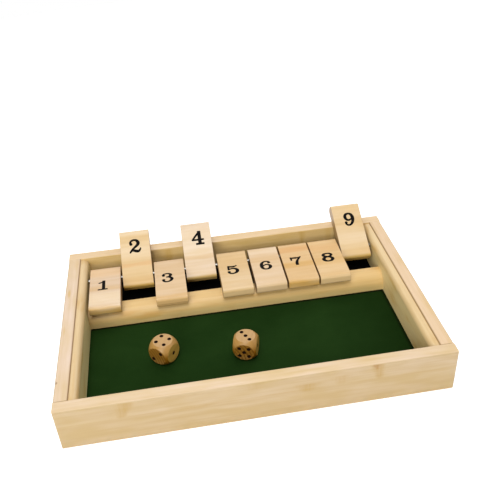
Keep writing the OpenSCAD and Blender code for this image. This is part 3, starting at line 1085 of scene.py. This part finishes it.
black_lining = nap_cloth("black_lining", paint(3, 3, 4), paint(9, 9, 10), 0.0)
lining = cloth_sheet(
    "trough_lining_sheet", LINING_FRONT, BOARD_INNER_Y - SHEET_GAP, LINING_TOP,
    step=2.2, ripple=0.03, material=black_lining,
)
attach(lining, "case")
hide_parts("trough_lining")

ink = thin_ink("printed_ink", paint(14, 12, 11), paint(44, 34, 26))
pip_paint = thin_ink("pip_paint", paint(24, 10, 5), paint(58, 28, 12))
for number in FLAPS:
    shape = bmesh.new()
    for shown_when_up in (False, True):
        add_figure(shape, number, face_matrix(number, shown_when_up))
    figure = piece_from(f"number_{number}", shape, ink)
    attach(figure, f"flap_{number}")
for side, die in DICE.items():
    pips = piece_from(f"pips_{side}", die_pips(die), pip_paint)
    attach(pips, die["body"])


# ---------------------------------------------------------------- floor, lamps and camera
# The floor and the lamps are in metres and watts.
FLOOR_RADIUS = 1.0
FLOOR_BELOW = 0.0002
PAPER_GLOW = 0.315
AIR_LIGHT = 0.11
GAME_MIDDLE = Vector((0.0, 0.0, 0.02))
# Each softbox: place, width and height, watts, colour.
SOFTBOXES = {
    "back_softbox": ((0.1, 1.1, 0.85), (2.2, 1.3), 12.1, (1.0, 0.95, 0.955)),
    "over_softbox": ((0.0, 0.15, 1.4), (1.2, 1.0), 7.2, (0.93, 0.94, 1.0)),
    "high_softbox": ((-0.12, -0.58, 1.22), (0.5, 0.5), 9.2, (0.975, 0.985, 1.03)),
    "front_softbox": ((-0.7, -1.2, 0.6), (1.0, 0.8), 13.9, (0.975, 1.0, 0.92)),
    "right_softbox": ((0.85, -0.1, 0.6), (0.6, 0.5), 1.2, (1.0, 1.0, 1.0)),
}


def floor_paper():
    """Pale studio paper that glows a little, so that it stays clean under the game."""
    finish = Finish.of_material("studio_paper")
    mottle = finish.noise(finish.place * (3.0, 3.0, 3.0), 2.0)
    colour = finish.blend(paint(250, 250, 250), paint(246, 246, 247), mottle)
    return finish.surface({
        "Base Color": colour, "Roughness": 0.9, "Specular IOR Level": 0.1,
        "Emission Color": (1.0, 1.0, 1.0, 1.0), "Emission Strength": PAPER_GLOW,
    })


def softbox(name, at, size, power, colour):
    """A rectangular lamp that looks at the game's middle."""
    lamp = bpy.data.lights.new(name, "AREA")
    lamp.shape = "RECTANGLE"
    lamp.size, lamp.size_y = size
    lamp.energy = power
    lamp.color = colour
    holder = bpy.data.objects.new(name, lamp)
    holder.location = at
    holder.rotation_euler = (GAME_MIDDLE - Vector(at)).to_track_quat("-Z", "Y").to_euler()
    bpy.context.scene.collection.objects.link(holder)


def studio_air():
    """The air lights the game dimly, and looks as pale as the floor where it shows beyond it."""
    world = bpy.data.worlds.new("studio_air")
    air = Finish(world)
    seen = air.node("ShaderNodeLightPath", output="Is Camera Ray")
    glow = air.node("ShaderNodeBackground", None, {
        "Color": (1.0, 1.0, 1.0, 1.0), "Strength": air.spread(seen, 0.0, 1.0, AIR_LIGHT, 1.0),
    })
    air.node("ShaderNodeOutputWorld", None, {"Surface": glow})
    return world


floor_shape = bmesh.new()
bmesh.ops.create_circle(floor_shape, cap_ends=True, segments=96, radius=FLOOR_RADIUS)
floor = piece_from("studio_floor", floor_shape, floor_paper())
floor.location.z = -FLOOR_BELOW
for name, facts in SOFTBOXES.items():
    softbox(name, *facts)
bpy.context.scene.world = studio_air()
bpy.context.scene.view_settings.view_transform = "Standard"

# The camera's place and what it looks at, in millimetres. It stands in front of the game,
# a little left of its middle, and is tipped a few degrees about its own line of sight.
CAMERA_AT = Vector((-37.35, -360.98, 322.49)) * MM
CAMERA_AIM = Vector((20.56, 101.84, 0.0)) * MM
CAMERA_TIP = math.radians(3.314)
SENSOR_WIDTH = 36.0
FOCAL_LENGTH = 47.358
NEAREST_SEEN = 10.0 * MM
ahead = (CAMERA_AIM - CAMERA_AT).normalized()
level = ahead.cross(Vector((0, 0, 1))).normalized()
upright = level.cross(ahead)
right = level * math.cos(CAMERA_TIP) - upright * math.sin(CAMERA_TIP)
axes = Matrix((right, right.cross(ahead), -ahead)).transposed().to_4x4()
camera = bpy.data.objects.new("camera", bpy.data.cameras.new("camera"))
camera.data.sensor_width = SENSOR_WIDTH
camera.data.lens = FOCAL_LENGTH
camera.data.clip_start = NEAREST_SEEN
camera.matrix_world = Matrix.Translation(CAMERA_AT) @ axes
bpy.context.scene.collection.objects.link(camera)
bpy.context.scene.camera = camera
